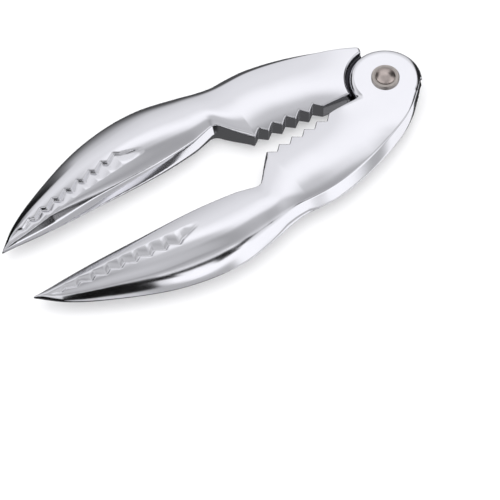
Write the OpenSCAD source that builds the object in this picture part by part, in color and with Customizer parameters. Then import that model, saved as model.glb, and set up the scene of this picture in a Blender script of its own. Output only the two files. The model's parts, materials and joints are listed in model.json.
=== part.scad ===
// Lobster cracker: two claw-shaped chrome-plated cast arms on one rivet.
// Millimetres. Z points up and is the rivet's axis. The origin is on that axis, in the plane the
// cracker lies on. The arms point along -X; the closing plane of the jaws is the XZ plane.
// Each arm is drawn in its own axes first: x runs from the rivet to the claw tip, y runs
// outward from the closing plane, and z = 0 is the arm's middle plane.

/* [Arms] */
// Distance from the rivet axis to the claw tip
arm_length = 175; // [170:1:180]
// Half thickness of the thickest place, the belly of the handle
belly_half = 7.4; // [7:0.1:8]
// Angle between the two arms at rest, closed is 0
rest_opening = 7.7; // [6:0.1:30]

/* [Jaws] */
// Number of V notches along each jaw
notch_count = 5; // [3:1:5]
// Distance from one tooth tip to the next
tooth_pitch = 6.3; // [6:0.1:6.4]
// Depth of a V notch
notch_depth = 2.9; // [2:0.1:3.5]
// Distance from the rivet axis to the front corner of the jaw
jaw_front = 60.7; // [60.5:0.1:61]
// Distance of every tooth tip from the closing plane
tip_clearance = 0.2; // [0.15:0.05:0.4]

/* [Hinge] */
// Radius of the round ears of the fork
ear_radius = 15.2; // [14.5:0.1:15.6]
// Half thickness over both ears
ear_half = 4.75; // [4.5:0.05:5]
// Radius of the hollow shoulder the ears turn in
shoulder_radius = 16.5; // [16.2:0.1:17]
// Thickness of the tongue between the ears
tongue_thickness = 3.3; // [3:0.1:3.6]
// Radius of the tongue's round end
tongue_radius = 14.3; // [13:0.1:14.4]
// Gap between the tongue and each ear
face_gap = 0.3; // [0.3:0.05:0.4]

/* [Rivet] */
// Radius of the rivet's shank
shank_radius = 3; // [2.5:0.1:3.4]
// Radial running clearance of the tongue on the shank
running_clearance = 0.05; // [0.02:0.01:0.1]
// Radius of the washer, and of the flat head below
washer_radius = 5.8; // [5.4:0.1:6.2]
// Thickness of the washer
washer_thickness = 1.1; // [0.8:0.1:1.3]
// Radius of the domed upper head
dome_radius = 4.1; // [3.8:0.1:4.6]

/* [Claw relief] */
// Number of saw teeth along the sunken claw mouth
saw_count = 9; // [5:1:9]
// Depth of the sunken mouth along its saw-toothed wall
relief_depth = 1.5; // [1:0.1:1.8]
// How far each saw tooth steps sideways
saw_step = 1.8; // [1:0.1:2]

/* [Hidden] */
$fn = 96;

scale_x = arm_length / 175;
scale_z = belly_half / 7.4;
slot_half = tongue_thickness / 2 + face_gap;
head_height = belly_half - ear_half;
jaw_end = jaw_front - notch_count * tooth_pitch;

// Outlines and heights of an arm. Each is a short list of [x, value] joined by a smooth curve.
outer_edge = [[-8, 12.9], [0, 19.3], [12, 25.6], [30, 31.2], [48, 33.8], [66, 33], [80, 34.9], [96, 36.8],
              [112, 35.3], [130, 30], [152, 19], [166, 9.8], [175, 0.9]];
handle_inner_edge = [[75, 10.8], [84, 7.6], [102, 4.4], [125, 2.4], [150, 0.8], [175, 0.4]];
crown_height = [[-8, 4.2], [10, 4.45], [24, 4.9], [45, 5.1], [62, 5.2], [78, 6.1], [95, 7.1], [108, 7.4], [122, 7.05],
                [137, 6.1], [152, 4.6], [166, 2.5], [175, 1]];
outer_crease_height = [[-8, 3.6], [20, 3.9], [60, 3.9], [76, 4.5], [105, 5.2], [130, 4.5], [152, 3], [175, 0.7]];
outer_flank_width = [[-8, 0.8], [20, 3.2], [60, 4.2], [90, 5.7], [112, 6.6], [134, 5], [155, 2.7], [175, 0.15]];
inner_crease_height = [[-8, 4], [18, 4.1], [36, 3.6], [60, 3.5], [72, 4.7], [95, 4.6], [130, 3.6], [155, 2],
                       [175, 0.7]];
inner_flank_width = [[60, 0], [73, 1.4], [90, 2.1], [130, 2.1], [155, 0.8], [175, 0.1]];
waist_bottom = [72.6, 11.5];
waist_radius = 3;

// Smooth curve through a list of points: the tangent at a point follows its two neighbours.
function span(list, x, i = 0) = i >= len(list) - 2 || x <= list[i + 1][0] ? i : span(list, x, i + 1);
function tangent(list, i) =
    let (a = max(i - 1, 0), b = min(i + 1, len(list) - 1))
    (list[b][1] - list[a][1]) / (list[b][0] - list[a][0]);
function curve(list, x) =
    let (
        i = span(list, x),
        width = list[i + 1][0] - list[i][0],
        s = min(max((x - list[i][0]) / width, 0), 1)
    )
    (1 + 2 * s) * (1 - s) * (1 - s) * list[i][1] + s * (1 - s) * (1 - s) * width * tangent(list, i)
    + s * s * (3 - 2 * s) * list[i + 1][1] - s * s * (1 - s) * width * tangent(list, i + 1);
function blend(x, from, to) = let (s = min(max((x - from) / (to - from), 0), 1)) s * s * (3 - 2 * s);

// Inner edge: straight along the jaw, up the slanted jaw front, round the waist, along the handle.
front_slope = (waist_bottom[1] - tip_clearance) / (waist_bottom[0] - jaw_front);
function soft_min(a, b, r) =
    let (h = max(r - abs(a - b), 0) / r)
    min(a, b) - h * h * r / 4;
function inner_edge(x) =
    x <= jaw_front ? tip_clearance
    : soft_min(tip_clearance + (x - jaw_front) * front_slope,
               x < 75 ? 10.8 + (75 - x) * 0.42 : curve(handle_inner_edge, x), waist_radius);

// Height of the upper surface at a place across the arm, u = 0 on the inner crease, 1 on the outer.
function skin_height(x, u) =
    let (
        inner = curve(inner_crease_height, x),
        outer = curve(outer_crease_height, x),
        rise = curve(crown_height, x) - (inner + outer) / 2
    )
    (inner + (outer - inner) * u + rise * (1 - pow(abs(2 * u - 1), 2.2))) * scale_z;

// One cross-section, upper half from the inner edge to the outer edge. Near the rivet the sections
// fan round it, so that the arm's back runs into the round ear.
crown_steps = 6;
fan_start = 18;
function section_point(x, u) =
    let (
        fan = min((x + 8) / (fan_start + 8), 1),
        inner = [x < fan_start ? fan_start * fan : x, inner_edge(x)],
        outer = [x, curve(outer_edge, x)],
        width = norm(outer - inner),
        side = (outer - inner) / width,
        a = curve(inner_flank_width, max(x, 60)),
        b = curve(outer_flank_width, x)
    )
    inner + side * (a + (width - a - b) * u);
function edge_point(x, outward) =
    let (fan = min((x + 8) / (fan_start + 8), 1))
    outward ? [x, curve(outer_edge, x)] : [x < fan_start ? fan_start * fan : x, inner_edge(x)];
function section(x) =
    let (
        crown = [for (k = [0 : crown_steps])
            let (u = k / crown_steps, p = section_point(x, u))
            [p[0] * scale_x, p[1], skin_height(x, u)]],
        inner = edge_point(x, false),
        outer = edge_point(x, true),
        under = [for (k = [crown_steps : -1 : 0]) [crown[k][0], crown[k][1], -crown[k][2]]]
    )
    concat([[inner[0] * scale_x, inner[1], 0]], crown, [[outer[0] * scale_x, outer[1], 0]], under);

// Solid through all cross-sections from x = start to the claw tip.
module arm_body(start) {
    stations = concat([start], [for (x = [ceil(start / 5) * 5 + 3 : 5 : 58]) x],
                      [for (x = [60 : 1.5 : 81]) x], [for (x = [85 : 4 : 165]) x], [169, 172.5, 175]);
    rows = len(stations);
    ring = 2 * crown_steps + 4;
    points = [for (x = stations) each section(x)];
    start_cap = [[for (j = [ring - 1 : -1 : 0]) j]];
    end_cap = [[for (j = [0 : ring - 1]) (rows - 1) * ring + j]];
    sides = [for (i = [0 : rows - 2]) for (j = [0 : ring - 1])
        let (a = i * ring + j, b = i * ring + (j + 1) % ring, c = b + ring, d = a + ring)
        each [[a, c, d], [a, b, c]]];
    polyhedron(points = points, faces = concat(start_cap, sides, end_cap), convexity = 6);
}

// V notches along one jaw, cut as one zigzag that leaves a narrow flat on every tooth tip.
tip_flat = 0.15;
module notches() {
    zigzag = [for (k = [0 : notch_count - 1]) each [
        [jaw_end + k * tooth_pitch, tip_clearance - tip_flat],
        [jaw_end + (k + 0.5) * tooth_pitch, tip_clearance + notch_depth]
    ]];
    translate([0, 0, -belly_half])
        linear_extrude(2 * belly_half)
            polygon(concat([[jaw_end, -1]], zigzag, [[jaw_front, tip_clearance - tip_flat], [jaw_front, -1]]));
}

// Sunken claw mouth: a ramp that runs down outward to a saw-toothed wall.
relief_front = [169, 3.9];
relief_back = [113.5, 16.2];
relief_end = [104.5, 14.4];
relief_inner_front = [170, 2.6];
relief_inner_back = [106, 12.4];
function place_across(x, y) =
    let (a = section_point(x, 0), b = section_point(x, 1))
    (y - a[1]) / (b[1] - a[1]);
function depth_point(p, depth) =
    [p[0] * scale_x, p[1], skin_height(p[0], min(max(place_across(p[0], p[1]), 0), 1)) - depth];
module relief() {
    along = (relief_back - relief_front) / saw_count;
    side = [along[1], -along[0]] / norm(along);
    wall = concat(
        [for (k = [0 : saw_count - 1]) each [
            relief_front + along * k + side * 0.1,
            relief_front + along * (k + 0.7) + side * saw_step * 0.9
        ]],
        [relief_back, relief_end]);
    count = len(wall);
    foot = [for (i = [0 : count - 1])
        let (s = i / (count - 1)) relief_inner_front + (relief_inner_back - relief_inner_front) * s];
    points = [for (i = [0 : count - 1])
        let (
            deep = relief_depth * (i == count - 1 ? 0.1 : blend(i, -1.5, 3) * (1 - 0.35 * blend(i, count - 4, count))),
            low_wall = depth_point(wall[i], deep),
            low_foot = depth_point(foot[i], -0.15)
        )
        each [low_wall, low_wall + [0, 0, 4], low_foot + [0, 0, 4], low_foot]];
    faces = concat(
        [[3, 2, 1, 0]],
        [for (i = [0 : count - 2]) for (j = [0 : 3])
            let (a = 4 * i + j, b = 4 * i + (j + 1) % 4)
            each [[a, b, b + 4], [a, b + 4, a + 4]]],
        [[4 * count - 4, 4 * count - 3, 4 * count - 2, 4 * count - 1]]);
    polyhedron(points = points, faces = faces, convexity = 6);
}

// Both ears in one round piece, before the slot parts them, with a small bevel on each outer edge.
ear_bevel = 0.7;
module ears() {
    straight = 2 * (ear_half - ear_bevel);
    cylinder(r = ear_radius, h = straight, center = true);
    for (up = [0, 1])
        mirror([0, 0, up])
            translate([0, 0, straight / 2])
                cylinder(r1 = ear_radius, r2 = ear_radius - ear_bevel, h = ear_bevel);
}

// Slot for the tongue: round inside the arm, open all the way round the free side of the ears.
mouth = 30;
mouth_back = 121;
module slot() {
    translate([0, 0, -slot_half]) {
        cylinder(r = tongue_radius + 0.5, h = 2 * slot_half);
        linear_extrude(2 * slot_half)
            polygon(concat([[0, 0]], [for (a = [mouth_back : (359 - mouth_back) / 6 : 360])
                mouth * [cos(a), sin(a)]], [[mouth, tip_clearance - 0.3]]));
    }
}

module shared_cuts() {
    notches();
    relief();
    mirror([0, 0, 1]) relief();
}

// Trims the tongue arm behind the outer corner of its shoulder.
module shoulder_end() {
    translate([0, 0, -belly_half])
        linear_extrude(2 * belly_half)
            polygon([[2.3, 15.3], [1.3, 25], [-20, 25], [-20, 11.2], [-6, 14]]);
}

module fork_arm() {
    color([0.78, 0.78, 0.80])
        translate([0, 0, belly_half])
            rotate([0, 0, 180 + rest_opening / 2])
                difference() {
                    union() {
                        arm_body(-8);
                        ears();
                    }
                    shared_cuts();
                    slot();
                    cylinder(r = shank_radius, h = 4 * ear_half, center = true);
                }
}

module tongue_arm() {
    color([0.74, 0.74, 0.77])
        translate([0, 0, belly_half])
            rotate([0, 0, -rest_opening / 2])
                mirror([1, 0, 0])
                    difference() {
                        union() {
                            arm_body(-8);
                            cylinder(r = tongue_radius, h = 2 * ear_half, center = true);
                        }
                        for (up = [0, 1])
                            mirror([0, 0, up])
                                translate([0, 0, tongue_thickness / 2])
                                    cylinder(r = shoulder_radius, h = belly_half);
                        shoulder_end();
                        shared_cuts();
                        cylinder(r = shank_radius + running_clearance, h = 4 * ear_half, center = true);
                    }
}

// Solid rivet: flat lower head, straight shank, domed head formed over the washer.
head_round = 0.6;
dome_height = head_height - washer_thickness;
module rivet() {
    dome_ball = (dome_radius * dome_radius + dome_height * dome_height) / (2 * dome_height);
    color([0.62, 0.58, 0.55]) {
        cylinder(r1 = washer_radius - head_round, r2 = washer_radius, h = head_round);
        translate([0, 0, head_round])
            cylinder(r = washer_radius, h = head_height - head_round);
        translate([0, 0, head_height])
            cylinder(r = shank_radius, h = 2 * ear_half + washer_thickness);
        translate([0, 0, belly_half + ear_half + washer_thickness])
            rotate_extrude()
                intersection() {
                    translate([0, dome_height - dome_ball]) circle(r = dome_ball);
                    square([dome_radius + 1, dome_height + 1]);
                }
    }
}

module washer() {
    bevel = 0.3;
    color([0.55, 0.53, 0.51])
        translate([0, 0, belly_half + ear_half])
            difference() {
                union() {
                    cylinder(r = washer_radius, h = washer_thickness - bevel);
                    translate([0, 0, washer_thickness - bevel])
                        cylinder(r1 = washer_radius, r2 = washer_radius - bevel, h = bevel);
                }
                translate([0, 0, -1]) cylinder(r = shank_radius, h = washer_thickness + 2);
            }
}

fork_arm();
tongue_arm();
rivet();
washer();
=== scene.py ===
"""Looks of the lobster cracker: two chrome-plated cast arms, a steel rivet and its washer.

Each arm is described as a smooth solid by a signed function in the arm's own axes, in millimetres:
x runs from the rivet to the claw tip, y outward from the closing plane, z = 0 is the middle plane.
The function is turned into a mesh once, placed in the row frame, and rides on its CAD body.
"""

import json
import math

import bmesh
import bpy
import numpy as np
from mathutils import Matrix, Vector


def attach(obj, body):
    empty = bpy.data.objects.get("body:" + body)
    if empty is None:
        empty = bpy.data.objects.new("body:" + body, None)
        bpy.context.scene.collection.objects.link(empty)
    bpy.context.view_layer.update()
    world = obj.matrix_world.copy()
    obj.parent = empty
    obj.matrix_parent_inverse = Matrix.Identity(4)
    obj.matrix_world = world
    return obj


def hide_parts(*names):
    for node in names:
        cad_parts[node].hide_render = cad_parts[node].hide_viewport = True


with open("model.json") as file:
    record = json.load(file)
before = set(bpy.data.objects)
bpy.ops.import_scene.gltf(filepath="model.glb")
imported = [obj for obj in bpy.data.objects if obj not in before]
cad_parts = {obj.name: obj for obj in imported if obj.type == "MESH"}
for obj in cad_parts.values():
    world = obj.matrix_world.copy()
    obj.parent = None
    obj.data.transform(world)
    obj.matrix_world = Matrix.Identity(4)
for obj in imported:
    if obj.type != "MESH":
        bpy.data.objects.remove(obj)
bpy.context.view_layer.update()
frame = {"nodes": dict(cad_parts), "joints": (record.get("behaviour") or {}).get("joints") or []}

# ---------------------------------------------------------------- driving sizes (mm, degrees)
HINGE = frame["joints"][0]
MM = 0.001
MIDDLE = HINGE["pos_m"][2] / MM
REST_OPENING = -HINGE["range_deg"][0]
ARM_LENGTH = 175.0
EAR_RADIUS, EAR_HALF = 15.2, 4.75
SHOULDER_RADIUS = 16.5
TONGUE_RADIUS, TONGUE_HALF = 14.3, 1.65
SLOT_RADIUS, SLOT_HALF = 14.8, 1.95
SHANK_RADIUS, BORE_RADIUS = 3.0, 3.05
WASHER_RADIUS, WASHER_THICKNESS = 5.8, 1.1
DOME_RADIUS = 4.1
TIP_CLEARANCE = 0.2
NOTCH_COUNT, TOOTH_PITCH, NOTCH_DEPTH = 5, 6.3, 2.9
JAW_FRONT = 60.7
JAW_END = JAW_FRONT - NOTCH_COUNT * TOOTH_PITCH
GRID = 0.34

# ---------------------------------------------------------------- outlines and heights of an arm
# Smooth curves along the arm, as (x, value): edges are y, creases and crown are heights, and
# flanks are widths in the plane.
OUTER_EDGE = [(-12, 9.3), (-8, 12.9), (0, 19.3), (12, 25.6), (30, 31.2), (48, 33.8), (66, 33),
              (80, 34.9), (96, 36.8), (112, 35.3), (130, 30), (152, 19), (166, 9.8), (175, 0.9)]
HANDLE_INNER_EDGE = [(75, 10.8), (84, 7.6), (102, 4.4), (125, 2.4), (150, 0.8), (175, 0.4)]
CROWN_HEIGHT = [(-8, 4.75), (20, 4.8), (45, 5.1), (62, 5.2), (78, 6.1), (95, 7.1), (108, 7.4),
                (122, 7.05), (137, 6.1), (152, 4.6), (166, 2.5), (175, 1)]
OUTER_CREASE = [(-8, 4.7), (8, 4.6), (26, 4.0), (60, 3.9), (76, 4.5), (105, 5.2), (130, 4.5),
                (152, 3), (175, 0.7)]
OUTER_FLANK = [(-8, 0.8), (20, 3.2), (60, 4.2), (90, 5.7), (112, 6.6), (134, 5), (155, 2.7),
               (175, 0.3)]
INNER_CREASE = [(-8, 4.75), (18, 4.5), (36, 3.7), (60, 3.6), (72, 4.7), (95, 4.6), (130, 3.6),
                (155, 2), (175, 0.7)]
INNER_FLANK = [(60, 0.05), (66, 0.3), (73, 1.4), (90, 2.1), (130, 2.1), (155, 0.8), (175, 0.2)]
BODY_START = -8
WAIST_BOTTOM = (72.6, 11.5)
WAIST_RADIUS = 3.0
WAIST_SLOPE = 0.42

# Values that change in straight runs along the arm, as (places, values)
EDGE_ROUNDING = [59, 63, 74, 84], [0.45, 1.5, 1.5, 0.45]
FRONT_STEEPNESS = [JAW_FRONT, 70, 73], [0.72, 0.8, 0.95]
FLANK_STRAIGHTNESS = [50, 75], [1, 0.8]
CROWN_SINKING = [60, 112, 150, 168, 175], [-0.6, -0.3, 0.8, 0.5, 0]
OUTER_SOFTNESS = [45, 60, 95], [0.35, 0.4, 0.6]
INNER_SOFTNESS = [70, 90], [0.3, 0.9]

# How the crown and the outer flank bow, and how the crown slants down to its sunk inner side
CROWN_POWER, FLANK_POWER = 2.2, 2.4
SUNK_SLOPE, SUNK_SOFTNESS = 0.66, 0.4
# Before its start there is no inner flank: its height is set out of reach
NO_INNER_FLANK, INNER_FLANK_START = 50, 64

# A slanted wall's true distance, as a share of the plain difference in y
OUTER_EDGE_STEEPNESS, NOTCH_STEEPNESS = 0.9, 0.735
# Rounding of the notches, as a share of their depth, and of the fold at z = 0, in square mm
NOTCH_ROUNDING = 0.06
FOLD_SOFTNESS = 0.0025

# Hinge ends: the fork's ears grow out of its body, and the tongue's body ends on a slanted plane
EAR_BLEND_OUTER, EAR_BLEND_INNER = 28, 13
EAR_JOIN, EAR_EDGE_ROUNDING = 1.5, 2.4
SLOT_BACK_ANGLE = 121
SLOT_MOUTH_STEP, NO_WALL = 0.1, 1e3
HOLE_ROUNDING = 0.25
BODY_END_POINT, BODY_END_NORMAL = (2.3, 15.3), (0.995, 0.103)
SHOULDER_ROUNDING = 0.8
TONGUE_OVERLAP, TONGUE_JOIN, TONGUE_ROUNDING, ROOT_ROUNDING = 1, 0.5, 0.3, 0.4


def smooth_table(points):
    """The curve through a short list of points, sampled finely.

    The tangent at a point follows its two neighbours.
    """
    x = np.array([p[0] for p in points], float)
    y = np.array([p[1] for p in points], float)
    m = np.empty(len(x))
    m[1:-1] = (y[2:] - y[:-2]) / (x[2:] - x[:-2])
    m[0] = (y[1] - y[0]) / (x[1] - x[0])
    m[-1] = (y[-1] - y[-2]) / (x[-1] - x[-2])
    fine = np.linspace(x[0], x[-1], 2000)
    i = np.clip(np.searchsorted(x, fine) - 1, 0, len(x) - 2)
    w = x[i + 1] - x[i]
    s = (fine - x[i]) / w
    value = ((1 + 2 * s) * (1 - s) ** 2 * y[i] + s * (1 - s) ** 2 * w * m[i]
             + s * s * (3 - 2 * s) * y[i + 1] - s * s * (1 - s) * w * m[i + 1])
    return fine, value


CURVES = {
    "outer": OUTER_EDGE,
    "handle": HANDLE_INNER_EDGE,
    "crown": CROWN_HEIGHT,
    "outer_crease": OUTER_CREASE,
    "outer_flank": OUTER_FLANK,
    "inner_crease": INNER_CREASE,
    "inner_flank": INNER_FLANK,
}
TABLES = {name: smooth_table(points) for name, points in CURVES.items()}


def curve(name, x):
    return np.interp(x, *TABLES[name])


def smax(a, b, k):
    """Larger of two, with the corner where they meet rounded over about k."""
    h = np.maximum(k - np.abs(a - b), 0) / k
    return np.maximum(a, b) + h * h * k / 4


def smin(a, b, k):
    """Smaller of two, with the corner where they meet rounded over about k."""
    return -smax(-a, -b, k)


def blend(x, low, high):
    """0 at low and 1 at high, with a smooth step between them."""
    s = np.clip((x - low) / (high - low), 0, 1)
    return s * s * (3 - 2 * s)


def waist_edge(x):
    """Inner edge without teeth: jaw, slanted jaw front, waist and handle."""
    slope = (WAIST_BOTTOM[1] - TIP_CLEARANCE) / (WAIST_BOTTOM[0] - JAW_FRONT)
    front = TIP_CLEARANCE + (x - JAW_FRONT) * slope
    start_x, start_y = HANDLE_INNER_EDGE[0]
    handle = np.where(x < start_x, start_y + (start_x - x) * WAIST_SLOPE, curve("handle", x))
    return np.maximum(smin(front, handle, WAIST_RADIUS), TIP_CLEARANCE)


def notch_rise(x):
    """Depth of the V notches at x, rounded a little at tips and roots."""
    phase = (x - JAW_END) / TOOTH_PITCH
    wave = 1 - np.abs(2 * (phase - np.floor(phase)) - 1)
    trim = NOTCH_ROUNDING / 2
    wave = smin(smax(wave, trim, NOTCH_ROUNDING), 1 - trim, NOTCH_ROUNDING)
    inside = (x > JAW_END) & (x < JAW_FRONT)
    return np.where(inside, NOTCH_DEPTH * wave, 0)


# Claw mouth: the saw wall runs from RELIEF_FRONT near the tip to RELIEF_BACK, then to RELIEF_END.
# The mouth's foot is the line RELIEF_INNER.
RELIEF_FRONT, RELIEF_BACK = np.array([169, 3.9]), np.array([113.5, 16.2])
RELIEF_END = np.array([104.5, 14.4])
RELIEF_INNER = np.array([170, 2.6]), np.array([106, 12.4])
SAW_COUNT, SAW_STEP, RELIEF_DEPTH = 9, 2.0, 1.5
SAW_BASE, SAW_PEAK = 0.1, 0.66
SAW_FIRST, SAW_GROWTH, SAW_GROWN_AT = 0.55, 0.45, 2
SAW_LEAD_IN = (-1.5, -0.6)
SAW_SAMPLE, SAW_BLUR, SAW_MARGIN = 0.05, 11, 4
WALL_WIDTH, WALL_LEAD, WALL_LEAST = 1.3, 0.2, 0.3


def relief(x, y):
    """Depth of the sunken claw mouth: a ramp from its inner line down to the saw-toothed wall."""
    run = RELIEF_BACK - RELIEF_FRONT
    length = np.hypot(*run)
    along = run / length
    side = np.array([along[1], -along[0]])
    pitch = length / SAW_COUNT

    def to_line(px, py):
        dx, dy = px - RELIEF_FRONT[0], py - RELIEF_FRONT[1]
        return dx * along[0] + dy * along[1], dx * side[0] + dy * side[1]

    s, t = to_line(x, y)
    end_s, end_t = to_line(*RELIEF_END)
    knots_s, knots_t = [SAW_LEAD_IN[0]], [SAW_LEAD_IN[1]]
    for k in range(SAW_COUNT):
        knots_s += [k * pitch, (k + SAW_PEAK) * pitch]
        knots_t += [SAW_BASE, SAW_STEP * (SAW_FIRST + SAW_GROWTH * min(k / SAW_GROWN_AT, 1))]
    knots_s += [length, end_s]
    knots_t += [SAW_BASE, end_t]
    fine = np.arange(-SAW_MARGIN, end_s + SAW_MARGIN, SAW_SAMPLE)
    blur = np.ones(SAW_BLUR) / SAW_BLUR
    rounded = np.convolve(np.interp(fine, knots_s, knots_t), blur, "same")
    wall = np.interp(s, fine, rounded)
    f0, f1 = to_line(*RELIEF_INNER[0]), to_line(*RELIEF_INNER[1])
    foot = np.interp(s, [f0[0], f1[0]], [f0[1], f1[1]])
    ramp = np.clip((t - foot) / np.maximum(wall - foot, WALL_LEAST), 0, 1)
    fade_places = [SAW_LEAD_IN[0], 3, 14, length - 8, length + 2, end_s]
    deep = RELIEF_DEPTH * np.interp(s, fade_places, [0, 0.45, 0.9, 1, 0.75, 0])
    wall_start = wall - WALL_LEAD
    return deep * ramp * (1 - blend(t, wall_start, wall_start + WALL_WIDTH))


def half_height(x, y):
    """Height of the upper surface: the crown, cut down by the two slanted flanks."""
    inner_edge, outer_edge = waist_edge(x), curve("outer", x)
    inner_y = inner_edge + curve("inner_flank", x)
    outer_y = outer_edge - curve("outer_flank", x)
    u = np.clip((y - inner_y) / np.maximum(outer_y - inner_y, 0.2), -0.2, 1.2)
    low, high = curve("inner_crease", x), curve("outer_crease", x)
    rise = curve("crown", x) - (low + high) / 2
    crown = low + (high - low) * u + rise * (1 - np.abs(2 * u - 1) ** CROWN_POWER)
    over = np.clip((y - outer_y) / curve("outer_flank", x), -2, 3)
    straight = np.interp(x, *FLANK_STRAIGHTNESS)
    bowed = (1 - straight) * np.sign(over) * np.abs(over) ** FLANK_POWER
    outer_flank = high * (1 - straight * over - bowed)
    sunk = np.interp(x, *CROWN_SINKING)
    crown = smin(crown, low - sunk + SUNK_SLOPE * (y - inner_y), SUNK_SOFTNESS)
    inner_flank = (low - np.maximum(sunk, 0)) * (y - inner_edge) / curve("inner_flank", x)
    inner_flank = np.where(x < INNER_FLANK_START, NO_INNER_FLANK, inner_flank)
    crown = crown - relief(x, y)
    upper = smin(crown, outer_flank, np.interp(x, *OUTER_SOFTNESS))
    return smin(upper, inner_flank, np.interp(x, *INNER_SOFTNESS))


def plan(x, y):
    """Distance outside the outline seen from above, teeth included."""
    inner = waist_edge(x) - y
    inner = np.where(x > JAW_FRONT, inner * np.interp(x, *FRONT_STEEPNESS), inner)
    toothed = (x > JAW_END) & (x < JAW_FRONT)
    teeth = (TIP_CLEARANCE + notch_rise(x) - y) * np.where(toothed, NOTCH_STEEPNESS, 1)
    outer = (y - curve("outer", x)) * OUTER_EDGE_STEEPNESS
    sides = np.maximum(np.maximum(inner, teeth), outer)
    return np.maximum(sides, np.maximum(x - ARM_LENGTH, BODY_START - x))


def skin(x, y, z, top):
    """Distance outside the upper and lower surfaces, evened out where the outer flank is steep."""
    slant = np.sqrt(1 + (curve("outer_crease", x) / curve("outer_flank", x)) ** 2)
    near_edge = blend(curve("outer", x) - curve("outer_flank", x) - y, 0.5, -0.5)
    return (np.sqrt(z * z + FOLD_SOFTNESS) - top) / (1 + (slant - 1) * near_edge)


def edge_rounding(x):
    """Soft edge along the outline: small at the teeth, generous at the jaw front and the waist."""
    return np.interp(x, *EDGE_ROUNDING)


def body_field(x, y, z):
    """Negative inside the arm, without its hinge end."""
    return smax(skin(x, y, z, half_height(x, y)), plan(x, y), edge_rounding(x))


def fork_field(x, y, z):
    """Negative inside the arm with the two ears, their slot and the shank's hole."""
    r = np.hypot(x, y)
    outline = smin(plan(x, y), r - EAR_RADIUS, EAR_JOIN)
    near_ear = blend(r, EAR_BLEND_OUTER, EAR_BLEND_INNER)
    top = half_height(x, y)
    top = top + (EAR_HALF - top) * near_ear
    rounding = edge_rounding(x) + EAR_EDGE_ROUNDING * near_ear
    solid = smax(skin(x, y, z, top), outline, rounding)
    back = math.radians(SLOT_BACK_ANGLE)
    behind = -(x * -math.sin(back) + y * math.cos(back))
    mouth = np.minimum(y + SLOT_MOUTH_STEP, np.where(x < 0, behind, NO_WALL))
    slot = np.maximum(np.abs(z) - SLOT_HALF, np.minimum(r - SLOT_RADIUS, mouth))
    return smax(smax(solid, -slot, HOLE_ROUNDING), SHANK_RADIUS - r, HOLE_ROUNDING)


def tongue_field(x, y, z):
    """Negative inside the arm with its hollow shoulder, the thin tongue and the bore."""
    r = np.hypot(x, y)
    body = body_field(x, y, z)
    (point_x, point_y), (normal_x, normal_y) = BODY_END_POINT, BODY_END_NORMAL
    end = -((x - point_x) * normal_x + (y - point_y) * normal_y)
    body = smax(body, end, SHOULDER_ROUNDING)
    shoulder = smax(body, SHOULDER_RADIUS - r, SHOULDER_ROUNDING)
    slab = np.abs(z) - TONGUE_HALF
    root = np.maximum(body, r - SHOULDER_RADIUS - TONGUE_OVERLAP)
    tongue = smax(smin(r - TONGUE_RADIUS, root, TONGUE_JOIN), slab, TONGUE_ROUNDING)
    return smax(smin(shoulder, tongue, ROOT_ROUNDING), BORE_RADIUS - r, HOLE_ROUNDING)


# ---------------------------------------------------------------- field to mesh
# Vertices settle onto the surface in damped moves, each held to a share of the grid step
SETTLE_ROUNDS, SETTLE_SHARE, SETTLE_LIMIT = 4, 0.8, 0.5
PROBE_SHARE, LEAST_SLOPE_SQUARED = 0.1, 0.05
# The box that the field is sampled in: past the arm's ends, out to y, and up and down
FIELD_MARGIN, FIELD_WIDTH, FIELD_HALF_HEIGHT = 1, 38.0, 8.2
# Painted shade in the hinge's recess fades in from just outside the shoulder to just inside it, and
# below these heights
RECESS_RADIUS_OUT, RECESS_RADIUS_IN = 0.1, 0.3
RECESS_HEIGHT_OUT, RECESS_HEIGHT_IN = 3.6, 2.6


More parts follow.
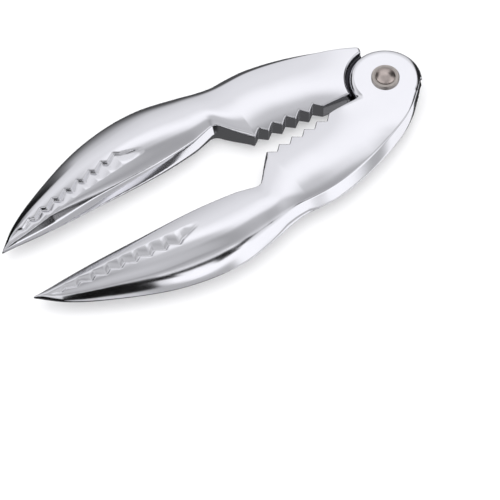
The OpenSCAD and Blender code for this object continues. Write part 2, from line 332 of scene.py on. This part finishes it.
def surface_net(field, low, high, step):
    """Quad mesh of the field's zero surface.

    Each crossed cell gets one vertex, which is then moved onto the surface.
    """
    axes = [np.arange(a, b + step, step) for a, b in zip(low, high)]
    gx, gy, gz = np.meshgrid(*axes, indexing="ij")
    value = field(gx, gy, gz).astype(np.float32)
    sign = value < 0
    cells = tuple(n - 1 for n in value.shape)
    corners = [(i, j, k) for i in (0, 1) for j in (0, 1) for k in (0, 1)]

    def corner(grid, c):
        return grid[c[0]:c[0] + cells[0], c[1]:c[1] + cells[1], c[2]:c[2] + cells[2]]

    count = sum(corner(sign, c).astype(np.int8) for c in corners)
    active = (count > 0) & (count < 8)
    index = np.full(cells, -1, np.int64)
    where = np.argwhere(active)
    index[active] = np.arange(len(where))
    total = np.zeros((len(where), 3))
    hits = np.zeros(len(where))
    for a in corners:
        for axis in range(3):
            if a[axis]:
                continue
            b = list(a)
            b[axis] = 1
            va, vb = corner(value, a)[active], corner(value, tuple(b))[active]
            cross = (va < 0) != (vb < 0)
            t = np.where(cross, va / np.where(cross, va - vb, 1), 0)
            point = np.array(a, float)[None, :] + np.eye(3)[axis][None, :] * t[:, None]
            total += point * cross[:, None]
            hits += cross
    verts = (where + total / hits[:, None]) * step + np.array([a[0] for a in axes])

    quads = []
    for axis in range(3):
        u, v = (axis + 1) % 3, (axis + 2) % 3
        first = np.take(sign, range(sign.shape[axis] - 1), axis)
        second = np.take(sign, range(1, sign.shape[axis]), axis)
        edges = np.argwhere(first != second)
        keep = (edges[:, u] > 0) & (edges[:, v] > 0)
        keep &= (edges[:, u] < cells[u]) & (edges[:, v] < cells[v])
        edges = edges[keep]
        inside_first = first[tuple(edges.T)]

        def cell(du, dv):
            e = edges.copy()
            e[:, u] -= du
            e[:, v] -= dv
            return index[tuple(e.T)]

        quad = np.stack([cell(1, 1), cell(0, 1), cell(0, 0), cell(1, 0)], 1)
        quad[~inside_first] = quad[~inside_first][:, ::-1]
        quads.append(quad)
    quads = np.concatenate(quads)

    small = step * PROBE_SHARE
    for _ in range(SETTLE_ROUNDS):
        f0 = field(*verts.T)
        grad = np.stack([(field(*(verts + d).T) - field(*(verts - d).T)) / (2 * small)
                         for d in np.eye(3) * small], 1)
        slope_squared = np.maximum((grad ** 2).sum(1), LEAST_SLOPE_SQUARED)
        move = -f0[:, None] * grad / slope_squared[:, None]
        far = np.linalg.norm(move, axis=1, keepdims=True)
        held = np.minimum(1, SETTLE_LIMIT * step / np.maximum(far, 1e-9))
        verts = verts + move * held * SETTLE_SHARE
    return verts, quads


def make_arm(name, field, place, flip, body, node):
    """One arm's mesh, placed in the row frame; flip turns the faces round for a mirrored place."""
    low = (-EAR_RADIUS - FIELD_MARGIN, -EAR_RADIUS - FIELD_MARGIN, -FIELD_HALF_HEIGHT)
    high = (ARM_LENGTH + FIELD_MARGIN, FIELD_WIDTH, FIELD_HALF_HEIGHT)
    verts, quads = surface_net(field, low, high, GRID)
    if flip:
        quads = quads[:, ::-1]
    mesh = bpy.data.meshes.new(name)
    mesh.from_pydata((verts * MM).tolist(), [], quads.tolist())
    mesh.transform(place)
    mesh.update()
    mesh.polygons.foreach_set("use_smooth", [True] * len(mesh.polygons))
    # painted shade: a per-point amount that darkens the chrome inside the hinge's recess, where
    # shade falls
    from_rivet = np.hypot(verts[:, 0], verts[:, 1])
    painted_shade_amount = (blend(from_rivet, SHOULDER_RADIUS + RECESS_RADIUS_OUT,
                    SHOULDER_RADIUS - RECESS_RADIUS_IN)
              * blend(np.abs(verts[:, 2]), RECESS_HEIGHT_OUT, RECESS_HEIGHT_IN))
    painted_recess_shade = mesh.attributes.new("painted_recess_shade", "FLOAT", "POINT")
    painted_recess_shade.data.foreach_set("value", painted_shade_amount.astype(np.float32))
    obj = bpy.data.objects.new(name, mesh)
    bpy.context.scene.collection.objects.link(obj)
    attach(obj, body)
    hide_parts(node)
    return obj


lift = Matrix.Translation((0, 0, MIDDLE * MM))
half = math.radians(REST_OPENING / 2)
fork_place = lift @ Matrix.Rotation(math.pi + half, 4, "Z")
tongue_place = lift @ Matrix.Rotation(-half, 4, "Z") @ Matrix.Diagonal((-1, 1, 1, 1))
fork = make_arm("fork_arm_casting", fork_field, fork_place, False, "fork_arm", "fork_arm")
tongue = make_arm("tongue_arm_casting", tongue_field, tongue_place, True,
                  "tongue_arm", "tongue_arm")


# ---------------------------------------------------------------- rivet and washer
def turned(name, profile, body, node, steps=96):
    """A piece turned about the rivet's axis from a closed profile of (radius, height) in mm."""
    bm = bmesh.new()
    loop = [bm.verts.new((r * MM, 0, z * MM)) for r, z in profile]
    edges = [bm.edges.new((a, b)) for a, b in zip(loop, loop[1:])]
    if profile[0] != profile[-1] and profile[0][0] > 0:
        edges.append(bm.edges.new((loop[-1], loop[0])))
    bmesh.ops.spin(bm, geom=loop + edges, cent=(0, 0, 0), axis=(0, 0, 1),
                   angle=2 * math.pi, steps=steps)
    bmesh.ops.remove_doubles(bm, verts=bm.verts, dist=1e-6)
    bmesh.ops.recalc_face_normals(bm, faces=bm.faces)
    mesh = bpy.data.meshes.new(name)
    bm.to_mesh(mesh)
    bm.free()
    mesh.polygons.foreach_set("use_smooth", [True] * len(mesh.polygons))
    obj = bpy.data.objects.new(name, mesh)
    bpy.context.scene.collection.objects.link(obj)
    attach(obj, body)
    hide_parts(node)
    return obj


def arc(cx, cz, radius, start, stop, steps=8):
    """Points of an arc in the profile plane, angles in degrees from the +radius direction."""
    angles = [math.radians(a) for a in np.linspace(start, stop, steps)]
    return [(max(cx + radius * math.cos(a), 0), cz + radius * math.sin(a)) for a in angles]


head_height = MIDDLE - EAR_HALF
ear_top = MIDDLE + EAR_HALF
washer_top = ear_top + WASHER_THICKNESS
dome_height = 2 * MIDDLE - washer_top
HEAD_FOOT_ROUNDING, HEAD_TOP_ROUNDING = 0.5, 0.15
DOME_RIM_ROUNDING, DOME_SEAT = 0.12, 0.02
WASHER_FOOT_ROUNDING, WASHER_TOP_ROUNDING = 0.2, 0.35
dome_ball = (DOME_RADIUS ** 2 + dome_height ** 2) / (2 * dome_height)
dome_angle = math.degrees(math.asin((dome_ball - dome_height) / dome_ball))
rivet_profile = (
    [(0, 0)]
    + arc(WASHER_RADIUS - HEAD_FOOT_ROUNDING, HEAD_FOOT_ROUNDING, HEAD_FOOT_ROUNDING, -90, 0)
    + arc(WASHER_RADIUS - HEAD_TOP_ROUNDING, head_height - HEAD_TOP_ROUNDING,
          HEAD_TOP_ROUNDING, 0, 90, 4)
    + [(SHANK_RADIUS, head_height), (SHANK_RADIUS, washer_top - DOME_SEAT),
       (DOME_RADIUS - DOME_RIM_ROUNDING, washer_top - DOME_SEAT)]
    + arc(DOME_RADIUS - DOME_RIM_ROUNDING, washer_top + 0.1, DOME_RIM_ROUNDING, -90, 10, 5)
    + arc(0, washer_top + dome_height - dome_ball, dome_ball, dome_angle + 4, 90, 24)
)
rivet = turned("rivet_turned", rivet_profile, "fork_arm", "rivet")
washer_profile = (
    [(SHANK_RADIUS, ear_top)]
    + arc(WASHER_RADIUS - WASHER_FOOT_ROUNDING, ear_top + WASHER_FOOT_ROUNDING,
          WASHER_FOOT_ROUNDING, -90, 0, 5)
    + arc(WASHER_RADIUS - WASHER_TOP_ROUNDING, washer_top - WASHER_TOP_ROUNDING,
          WASHER_TOP_ROUNDING, 0, 90, 8)
    + [(DOME_RADIUS + 0.5, washer_top - 0.05), (DOME_RADIUS + 0.1, washer_top - 0.16),
       (SHANK_RADIUS, washer_top - 0.16)]
)
washer = turned("washer_turned", washer_profile, "fork_arm", "washer")


# ---------------------------------------------------------------- materials
def new_material(name):
    """A material with one principled shader, and its nodes and links."""
    mat = bpy.data.materials.new(name)
    mat.use_nodes = True
    nodes, links = mat.node_tree.nodes, mat.node_tree.links
    nodes.clear()
    out = nodes.new("ShaderNodeOutputMaterial")
    shader = nodes.new("ShaderNodeBsdfPrincipled")
    links.new(shader.outputs["BSDF"], out.inputs["Surface"])
    return mat, nodes, links, shader


def noise(nodes, links, scale, detail=3.0, stretch=None):
    """Noise in the object's own space."""
    coord = nodes.new("ShaderNodeTexCoord")
    tex = nodes.new("ShaderNodeTexNoise")
    tex.inputs["Scale"].default_value = scale
    tex.inputs["Detail"].default_value = detail
    source = coord.outputs["Object"]
    if stretch:
        mapping = nodes.new("ShaderNodeMapping")
        mapping.inputs["Scale"].default_value = stretch
        links.new(source, mapping.inputs["Vector"])
        source = mapping.outputs["Vector"]
    links.new(source, tex.inputs["Vector"])
    return tex.outputs["Fac"]


def spread(nodes, links, source, low, high):
    """A 0 to 1 value carried to the range low to high."""
    remap = nodes.new("ShaderNodeMapRange")
    remap.inputs["To Min"].default_value = low
    remap.inputs["To Max"].default_value = high
    links.new(source, remap.inputs["Value"])
    return remap.outputs["Result"]


def bump(nodes, links, shader, source, strength, distance):
    node = nodes.new("ShaderNodeBump")
    node.inputs["Strength"].default_value = strength
    node.inputs["Distance"].default_value = distance
    links.new(source, node.inputs["Height"])
    links.new(node.outputs["Normal"], shader.inputs["Normal"])


def chrome(name):
    """Bright plate over a polished casting: a faint haze, drawn out a little, and a shallow ripple.

    An attribute paints shade into the hinge's recess: it darkens the plate's colour inside the
    hinge.
    """
    mat, nodes, links, shader = new_material(name)
    shader.inputs["Metallic"].default_value = 1.0
    tint = nodes.new("ShaderNodeMix")
    tint.data_type = "RGBA"
    tint.inputs["A"].default_value = (0.83, 0.83, 0.86, 1)
    tint.inputs["B"].default_value = (0.90, 0.90, 0.92, 1)
    links.new(noise(nodes, links, 40), tint.inputs["Factor"])
    # painted shade: mixes the plate's colour towards near black inside the hinge's recess
    recess_shade_mix = nodes.new("ShaderNodeMix")
    recess_shade_mix.data_type = "RGBA"
    recess_shade_mix.inputs["B"].default_value = (0.03, 0.03, 0.035, 1)
    painted_recess_shade = nodes.new("ShaderNodeAttribute")
    painted_recess_shade.attribute_name = "painted_recess_shade"
    links.new(painted_recess_shade.outputs["Fac"], recess_shade_mix.inputs["Factor"])
    links.new(tint.outputs["Result"], recess_shade_mix.inputs["A"])
    links.new(recess_shade_mix.outputs["Result"], shader.inputs["Base Color"])
    haze = spread(nodes, links, noise(nodes, links, 260, 6, (1, 3, 1)), 0.07, 0.13)
    links.new(haze, shader.inputs["Roughness"])
    bump(nodes, links, shader, noise(nodes, links, 55, 2), 0.05, 0.0008)
    return mat


def satin_steel(name, base, dark):
    """Bare steel, turned and tumbled: warm grey, blotchy, with fine grain."""
    mat, nodes, links, shader = new_material(name)
    shader.inputs["Metallic"].default_value = 1.0
    tint = nodes.new("ShaderNodeMix")
    tint.data_type = "RGBA"
    tint.inputs["A"].default_value = (*dark, 1)
    tint.inputs["B"].default_value = (*base, 1)
    links.new(noise(nodes, links, 700, 5), tint.inputs["Factor"])
    links.new(tint.outputs["Result"], shader.inputs["Base Color"])
    haze = spread(nodes, links, noise(nodes, links, 1500, 4), 0.27, 0.38)
    links.new(haze, shader.inputs["Roughness"])
    bump(nodes, links, shader, noise(nodes, links, 2200, 4), 0.12, 0.0001)
    return mat


plate = chrome("bright_chrome_plate")
for arm in (fork, tongue):
    arm.data.materials.append(plate)
rivet.data.materials.append(
    satin_steel("rivet_satin_steel", (0.80, 0.70, 0.65), (0.62, 0.54, 0.50)))
washer.data.materials.append(
    satin_steel("washer_satin_steel", (0.62, 0.57, 0.53), (0.42, 0.39, 0.36)))

# the plain CAD nodes carry the same materials as the pieces that replace them
for name, node in frame["nodes"].items():
    source = {"rivet": rivet, "washer": washer}.get(name, fork)
    node.data.materials.clear()
    node.data.materials.append(source.data.materials[0])

# ---------------------------------------------------------------- camera
ELEVATION = math.radians(56.7)
TURN = math.radians(-32.4)
DISTANCE = 1.3
# in mm; together they frame 0.199 m at the camera's distance
LENS, SENSOR_WIDTH = 235.404, 36.0
TARGET_OFFSET = Vector((-0.0555, -0.0815, 0))
TARGET = Matrix.Rotation(TURN, 4, "Z") @ TARGET_OFFSET + Vector((0, 0, MIDDLE * MM))
look = Matrix.Rotation(TURN, 3, "Z") @ Vector((0, math.cos(ELEVATION), -math.sin(ELEVATION)))
camera_data = bpy.data.cameras.new("camera")
camera_data.sensor_width = SENSOR_WIDTH
camera_data.lens = LENS
camera_data.clip_end = 20
camera = bpy.data.objects.new("camera", camera_data)
camera.location = TARGET - look * DISTANCE
camera.rotation_euler = look.to_track_quat("-Z", "Y").to_euler()
bpy.context.scene.collection.objects.link(camera)
bpy.context.scene.camera = camera

# ---------------------------------------------------------------- floor and light tent
FLOOR_HALF = 6
floor_mesh = bpy.data.meshes.new("floor")
floor_signs = [(-1, -1), (1, -1), (1, 1), (-1, 1)]
floor_mesh.from_pydata([(x * FLOOR_HALF, y * FLOOR_HALF, 0) for x, y in floor_signs], [],
                       [(0, 1, 2, 3)])
floor = bpy.data.objects.new("floor", floor_mesh)
bpy.context.scene.collection.objects.link(floor)
floor.visible_glossy = False
floor_mat, _, _, shader = new_material("floor_paper")
shader.inputs["Base Color"].default_value = (0.93, 0.93, 0.93, 1)
shader.inputs["Roughness"].default_value = 0.9
floor.data.materials.append(floor_mat)


# brightness of the tent by height over the horizon, in degrees
TENT = [(-90, 0.085), (-24, 0.085), (-10, 0.28), (3, 0.56), (20, 0.70), (34, 0.80), (44, 0.86),
        (52, 0.80), (60, 0.60), (65, 0.46), (70, 0.39), (77, 0.54), (90, 0.64)]
# heights past every direction, for a card that is open above or below
BELOW_ALL, ABOVE_ALL = -200, 400
# cards and softboxes, in degrees: bearing from, to, softness; height from, to, softness;
# how far the lower edge climbs for each degree of bearing; brightness
CARDS = [(-76, 0, 4, -30, 37, 5, 0, 0.47),
         (-64, -18, 4, 38, 60, 2.5, 0, 1.12),
         (-38, -8, 4, 18, 42, 5, 0, 1.1),
         (-44, 30, 3, -50, 4, 6, 0, 1.05),
         (20, 66, 5, -12, 49, 5, 0, 0.02),
         (62, 103, 6, 50, 65, 5, 0, 1.08),
         (66, 110, 10, 62, 76, 5, 0, 0.60),
         (-99, -70, 2, 9, 57, 2.5, 0.9, 0.004),
         (-116, -95, 2, -12, 21, 3, 0, 0.004),
         (-72, -57, 2.5, 49, 57, 1.5, 0, 0.004),
         (-60, -42, 2, 53, 58, 1.5, 0, 0.004),
         (-43, -28, 2, 47.5, 58, 1.5, 0, 0.004),
         (-29, -6, 3, 50, 57, 1.5, 0, 0.08),
         (-150, -47, 2, -30, -12, 4, 0, 0.02),
         (128, 168, 4, -40, 36, 6, 0, 0.01),
         (119, 175, 3, -40, 20, 5, 0, 0.01)]


def tent_colour(level):
    """The tent's faintly blue white at this brightness."""
    return (level * 0.985, level * 0.985, level * 1.02, 1)


def light_tent():
    """White tent with cards and softboxes in it, painted as directions in the room."""
    world = bpy.data.worlds.new("tent")
    bpy.context.scene.world = world
    world.use_nodes = True
    nodes, links = world.node_tree.nodes, world.node_tree.links
    nodes.clear()
    out = nodes.new("ShaderNodeOutputWorld")
    background = nodes.new("ShaderNodeBackground")
    links.new(background.outputs["Background"], out.inputs["Surface"])
    coord = nodes.new("ShaderNodeTexCoord")
    turn = nodes.new("ShaderNodeMapping")
    turn.inputs["Rotation"].default_value = (0, 0, -TURN)
    links.new(coord.outputs["Generated"], turn.inputs["Vector"])
    split = nodes.new("ShaderNodeSeparateXYZ")
    links.new(turn.outputs["Vector"], split.inputs["Vector"])

    def math_node(operation, *values):
        node = nodes.new("ShaderNodeMath")
        node.operation = operation
        for i, v in enumerate(values):
            if isinstance(v, (int, float)):
                node.inputs[i].default_value = v
            else:
                links.new(v, node.inputs[i])
        return node.outputs["Value"]

    def window(value, low, high, soft):
        """1 between low and high, 0 outside, with soft edges."""
        parts = []
        for start, stop in ((low - soft, low + soft), (high + soft, high - soft)):
            node = nodes.new("ShaderNodeMapRange")
            node.interpolation_type = "SMOOTHSTEP"
            node.inputs["From Min"].default_value = start
            node.inputs["From Max"].default_value = stop
            links.new(value, node.inputs["Value"])
            parts.append(node.outputs["Result"])
        return math_node("MULTIPLY", *parts)

    to_degrees = 180 / math.pi
    height = math_node("MULTIPLY", math_node("ARCSINE", split.outputs["Z"]), to_degrees)
    around = math_node("ARCTAN2", split.outputs["Y"], split.outputs["X"])
    bearing = math_node("MULTIPLY", around, to_degrees)
    ramp = nodes.new("ShaderNodeValToRGB")
    links.new(math_node("ADD", math_node("MULTIPLY", height, 1 / 180), 0.5), ramp.inputs["Fac"])
    for _ in TENT[2:]:
        ramp.color_ramp.elements.new(0.5)
    for element, (angle, _) in zip(ramp.color_ramp.elements, TENT):
        element.position = angle / 180 + 0.5
    for element, (_, level) in zip(ramp.color_ramp.elements, TENT):
        element.color = tent_colour(level)
    colour = ramp.outputs["Color"]
    for start, stop, soft, low, high, soft_height, climb, level in CARDS:
        across = window(bearing, start, stop, soft)
        climbed = math_node("MULTIPLY", math_node("SUBTRACT", bearing, start), climb)
        lifted = math_node("SUBTRACT", height, climbed)
        under_top = window(height, BELOW_ALL, high, soft_height)
        over_foot = window(lifted, low, ABOVE_ALL, soft_height)
        amount = math_node("MULTIPLY", across, math_node("MULTIPLY", under_top, over_foot))
        mix = nodes.new("ShaderNodeMix")
        mix.data_type = "RGBA"
        links.new(amount, mix.inputs["Factor"])
        links.new(colour, mix.inputs["A"])
        mix.inputs["B"].default_value = tent_colour(level)
        colour = mix.outputs["Result"]
    links.new(colour, background.inputs["Color"])
    background.inputs["Strength"].default_value = 1.0


light_tent()

# whitens the floor; it casts no shadow and is not seen in reflections
sun = bpy.data.lights.new("overhead_light", "SUN")
sun.energy = 2.2
sun.angle = math.radians(60)
sun.use_shadow = False
overhead = bpy.data.objects.new("overhead_light", sun)
overhead.visible_glossy = False
bpy.context.scene.collection.objects.link(overhead)

# a white ring that only the camera sees, so that low views end in paper
BACKDROP_RADIUS, BACKDROP_HEIGHT, BACKDROP_SIDES = 5.0, 5.0, 48
turns = [math.tau * i / BACKDROP_SIDES for i in range(BACKDROP_SIDES)]
ring = [(BACKDROP_RADIUS * math.cos(a), BACKDROP_RADIUS * math.sin(a)) for a in turns]
following = [(i, (i + 1) % BACKDROP_SIDES) for i in range(BACKDROP_SIDES)]
wall_mesh = bpy.data.meshes.new("backdrop")
wall_mesh.from_pydata([(x, y, z) for z in (0, BACKDROP_HEIGHT) for x, y in ring], [],
                      [(i, j, j + BACKDROP_SIDES, i + BACKDROP_SIDES) for i, j in following])
backdrop = bpy.data.objects.new("backdrop", wall_mesh)
bpy.context.scene.collection.objects.link(backdrop)
backdrop.visible_glossy = backdrop.visible_diffuse = backdrop.visible_shadow = False
paper, _, _, shader = new_material("backdrop_paper")
shader.inputs["Base Color"].default_value = (0, 0, 0, 1)
shader.inputs["Roughness"].default_value = 1.0
shader.inputs["Emission Color"].default_value = (1, 1, 1, 1)
shader.inputs["Emission Strength"].default_value = 0.93
backdrop.data.materials.append(paper)

scene = bpy.context.scene
scene.view_settings.view_transform = "Standard"
